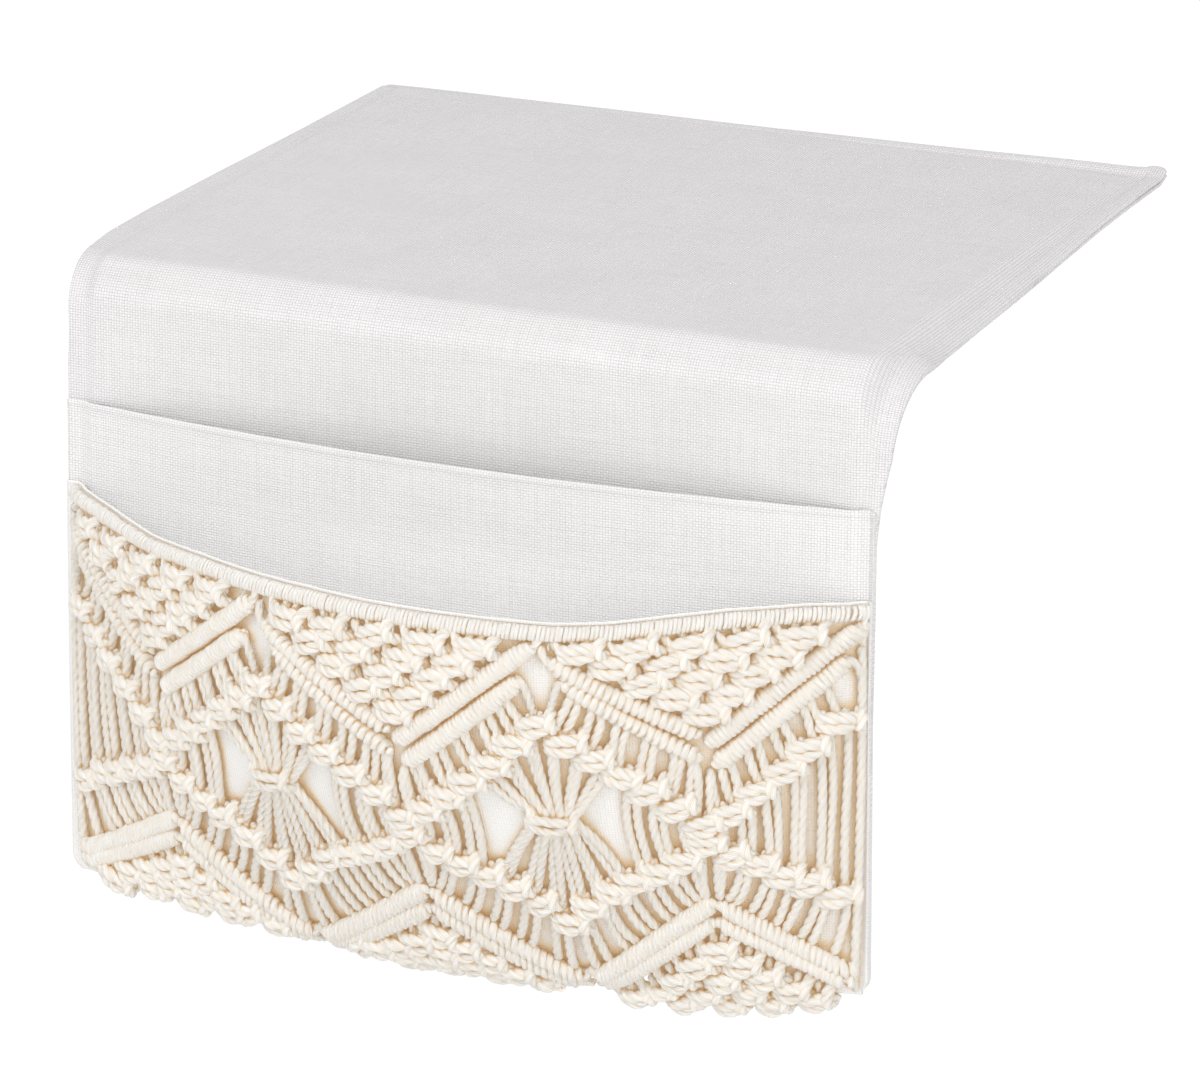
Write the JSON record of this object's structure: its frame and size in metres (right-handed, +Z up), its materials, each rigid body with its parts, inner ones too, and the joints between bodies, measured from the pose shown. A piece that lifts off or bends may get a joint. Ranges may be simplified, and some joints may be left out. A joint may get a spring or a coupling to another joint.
{
  "type": "bedside caddy",
  "caption": "Canvas bedside caddy: a stiffened flap slides under a mattress and carries a hanging panel with a flat rear pocket and a bulging front pocket faced with knotted cord.",
  "frame": {"origin": "middle of the flap's underside, on the outer face of its backing canvas", "axes": "+Z up; +Y points back under the mattress, from the hanging panel to the flap's far edge; X runs across the width"},
  "size_m": [0.3502, 0.3818, 0.2677],
  "materials": {
    "canvas": "off-white plain-weave cotton canvas, matte",
    "lining": "white plain-weave cotton canvas, matte",
    "cord": "natural cream three-ply twisted cotton cord, matte",
    "board": "plain stiffener board, hidden between the cloths",
    "thread": "white sewing thread"
  },
  "bodies": {
    "flap": {"flap_face_canvas": "canvas", "flap_backing_canvas": "canvas", "flap_board": "board"},
    "panel": {"panel_face_canvas": "canvas", "panel_backing_canvas": "canvas", "panel_board": "board", "rear_pocket_canvas": "canvas", "front_pocket_lining": "lining", "knotted_net": "cord", "heading_cord": "cord"}
  },
  "joints": [
    {"name": "flap_fold", "type": "hinge", "parent": "flap", "child": "panel", "pos_m": [0, -0.15281, -0.00234], "axis": [1, 0, 0], "range_deg": [-90, 90]}
  ]
}
